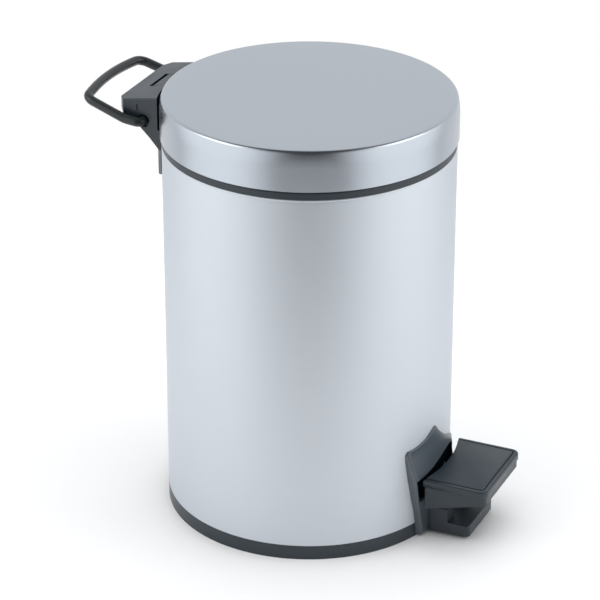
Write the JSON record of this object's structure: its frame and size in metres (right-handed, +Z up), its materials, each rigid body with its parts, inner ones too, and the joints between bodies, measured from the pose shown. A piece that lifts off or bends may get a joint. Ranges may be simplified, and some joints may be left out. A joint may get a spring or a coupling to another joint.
{
  "type": "pedal trash can",
  "caption": "Small round steel pedal trash can: a foot pedal lifts a push rod that opens the hinged lid over a lift-out bucket, with a wire carrying handle on the hinge block.",
  "frame": {"origin": "centre of the flat underside of the base, on the bin's axis", "axes": "+Z up; the pedal points to -Y, the lid hinge and carrying handle are at +Y, +X is to the right seen from the pedal side"},
  "size_m": [0.1698, 0.2545, 0.2546],
  "materials": {
    "satin_steel": "satin stainless sheet, almost without visible grain",
    "plated_steel": "bright zinc plated steel",
    "coated_wire": "steel wire with a smooth dark grey coating",
    "steel_wire": "bright drawn wire",
    "dark_plastic": "dark slate grey moulded plastic, fine satin texture",
    "inner_plastic": "plain dark moulded plastic",
    "bucket_plastic": "dark polypropylene, slightly waxy",
    "buffer_rubber": "soft black rubber"
  },
  "bodies": {
    "body": {"base": "dark_plastic", "body_shell": "satin_steel", "rim_ring": "dark_plastic", "false_floor": "inner_plastic", "floor_screws": "plated_steel", "pedal_guard": "dark_plastic", "guard_screws": "plated_steel", "front_foot": "dark_plastic", "pedal_axle": "plated_steel", "axle_clips": "plated_steel", "rod_guide_lower": "inner_plastic", "rod_guide_upper": "inner_plastic", "hinge_housing": "dark_plastic", "hinge_plate": "plated_steel", "plate_rivets": "plated_steel", "hinge_pin": "plated_steel"},
    "lid": {"lid_shell": "satin_steel", "lid_liner": "inner_plastic", "lid_bumpers": "buffer_rubber", "hinge_tongue": "dark_plastic", "lid_studs": "plated_steel", "stud_nuts": "plated_steel"},
    "pedal": {"pedal_tread": "dark_plastic", "tread_pad": "dark_plastic", "pedal_lever": "plated_steel", "lever_rivets": "plated_steel"},
    "push_rod": {"push_rod": "steel_wire", "rod_shoe": "inner_plastic"},
    "carry_handle": {"carry_handle": "coated_wire"},
    "bucket": {"inner_bucket": "bucket_plastic"},
    "bucket_bail": {"bucket_bail": "steel_wire", "bail_grip": "bucket_plastic"}
  },
  "joints": [
    {"name": "lid_hinge", "type": "hinge", "parent": "body", "child": "lid", "pos_m": [0, 0.0923, 0.2442], "axis": [-1, 0, 0], "range_deg": [0, 76]},
    {"name": "pedal_hinge", "type": "hinge", "parent": "body", "child": "pedal", "pos_m": [0, -0.02, 0.0145], "axis": [1, 0, 0], "range_deg": [0, 10.4]},
    {"name": "push_rod_slide", "type": "slide", "parent": "body", "child": "push_rod", "axis": [0, 0, 1], "range_m": [0, 0.0183]},
    {"name": "handle_hinge", "type": "hinge", "parent": "body", "child": "carry_handle", "pos_m": [0, 0.0895, 0.2346], "axis": [1, 0, 0], "range_deg": [-100, 42]},
    {"name": "bucket_lift", "type": "slide", "parent": "body", "child": "bucket", "axis": [0, 0, 1], "range_m": [0, 0.01]},
    {"name": "bail_hinge", "type": "hinge", "parent": "bucket", "child": "bucket_bail", "pos_m": [0, 0, 0.2282], "axis": [-1, 0, 0], "range_deg": [0, 8]}
  ],
  "couplings": [
    {"joint": "push_rod_slide", "follows": "lid_hinge", "m_per_rad": 0.013783},
    {"joint": "pedal_hinge", "follows": "lid_hinge", "ratio": 0.13663}
  ]
}
